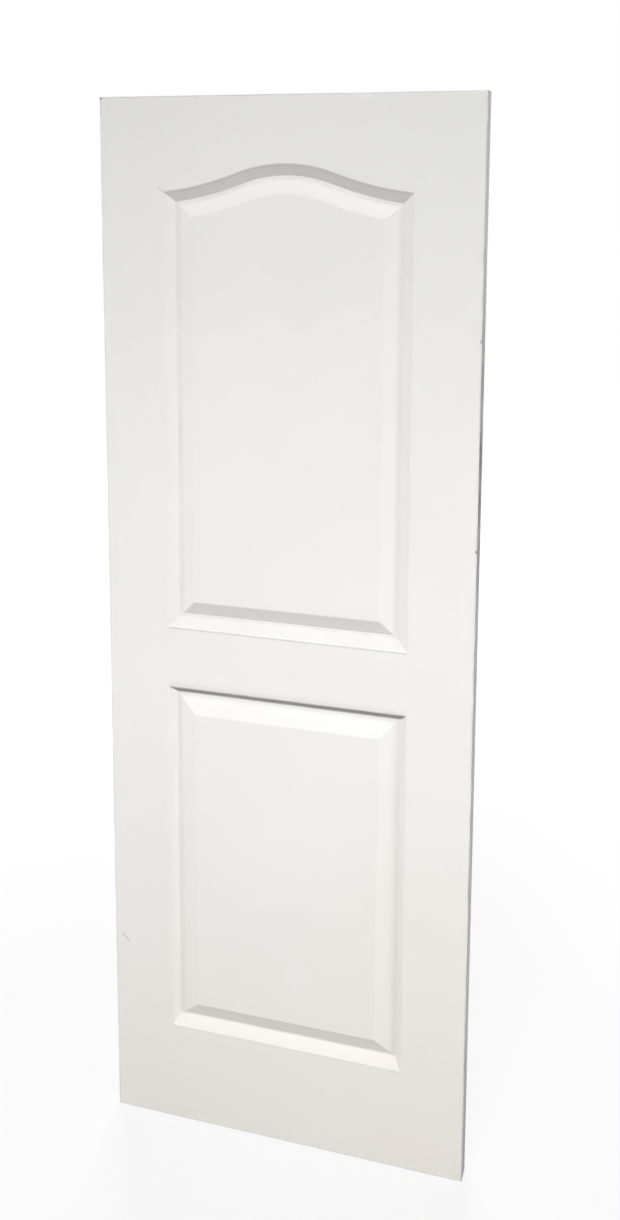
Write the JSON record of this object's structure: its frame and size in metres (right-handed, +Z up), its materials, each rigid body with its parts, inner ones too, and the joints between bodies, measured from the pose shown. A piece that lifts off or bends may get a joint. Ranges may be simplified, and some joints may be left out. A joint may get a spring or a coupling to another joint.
{
  "type": "door leaf",
  "caption": "White moulded bathroom door leaf with an arched raised panel above a rectangular one, hung by its hinge edge.",
  "frame": {"origin": "middle of the hinge edge: half way up, half way through the thickness, on the face of the edge", "axes": "+X across the leaf to the lock edge, -Y out of the front face, +Z up"},
  "size_m": [0.711, 0.035, 2.032],
  "materials": {
    "skin_white": "satin white, smooth",
    "painted_edge": "painted white, worn at the arrises",
    "bare_timber": "sawn softwood",
    "core_board": "raw board"
  },
  "bodies": {
    "root": {"front_skin": "skin_white", "back_skin": "skin_white", "hinge_stile": "painted_edge", "lock_stile": "painted_edge", "top_rail": "painted_edge", "bottom_rail": "painted_edge", "mid_rail": "bare_timber", "lock_block": "bare_timber", "upper_core": "core_board", "lower_core": "core_board"}
  },
  "joints": []
}
